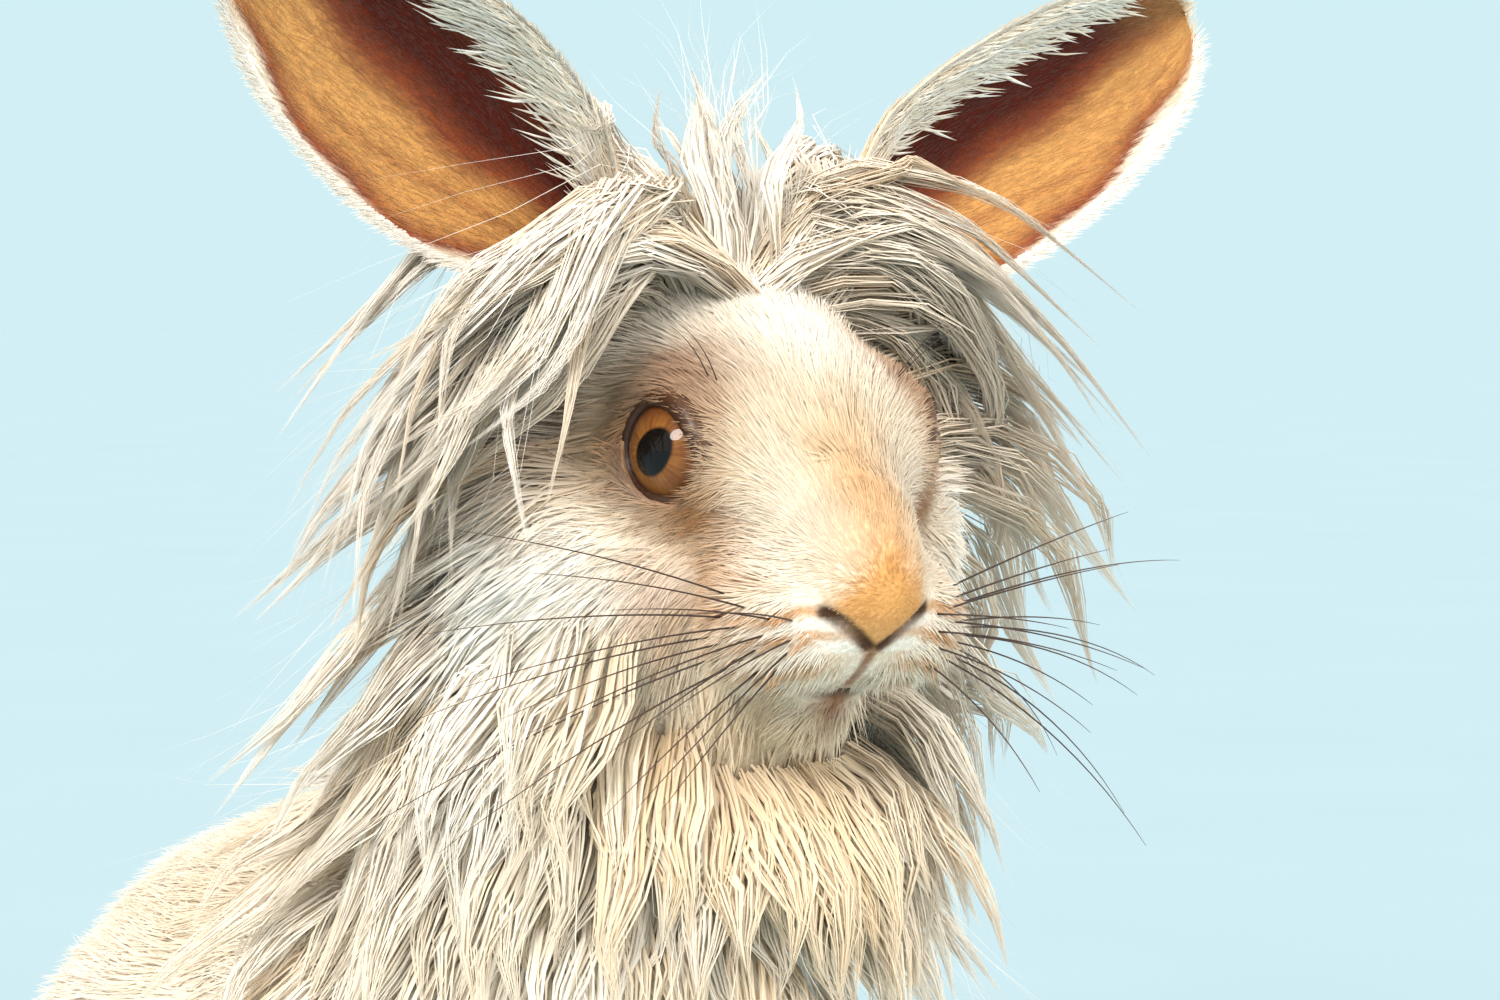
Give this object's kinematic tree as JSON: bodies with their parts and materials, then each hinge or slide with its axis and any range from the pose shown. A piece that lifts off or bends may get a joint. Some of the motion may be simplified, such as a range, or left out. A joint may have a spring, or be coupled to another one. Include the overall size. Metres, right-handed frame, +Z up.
{
  "type": "lionhead rabbit",
  "caption": "Life-size still model of a lionhead rabbit sitting alert, cream-white with fawn points, long wavy mane and ears held up and apart.",
  "frame": {"origin": "on the floor under the middle of the animal's box", "axes": "+Z up, the body faces -Y, the rabbit's own left is +X"},
  "size_m": [0.164, 0.2268, 0.253],
  "materials": {
    "coat": "short dense fur, off-white with cream and fawn shading",
    "mane": "long soft wavy wool, off-white with fawn at the roots",
    "ear": "thin furred ear, cream rim and russet-brown cup",
    "eye": "wet amber-brown iris under a clear cornea",
    "claw": "satin horn",
    "nose": "soft fawn nose leather with dark slits",
    "whisker": "fine dark bristle"
  },
  "bodies": {
    "root": {"torso": "coat", "head": "coat", "neck": "mane", "tail": "coat", "eye_left": "eye", "ear_left": "ear", "foreleg_left": "coat", "forepaw_left": "coat", "hindleg_left": "coat", "hindfoot_left": "coat", "claw_fore_left_1": "claw", "claw_fore_left_2": "claw", "claw_fore_left_3": "claw", "claw_fore_left_4": "claw", "claw_hind_left_1": "claw", "claw_hind_left_2": "claw", "claw_hind_left_3": "claw", "claw_hind_left_4": "claw", "eye_right": "eye", "ear_right": "ear", "foreleg_right": "coat", "forepaw_right": "coat", "hindleg_right": "coat", "hindfoot_right": "coat", "claw_fore_right_1": "claw", "claw_fore_right_2": "claw", "claw_fore_right_3": "claw", "claw_fore_right_4": "claw", "claw_hind_right_1": "claw", "claw_hind_right_2": "claw", "claw_hind_right_3": "claw", "claw_hind_right_4": "claw"}
  },
  "joints": []
}
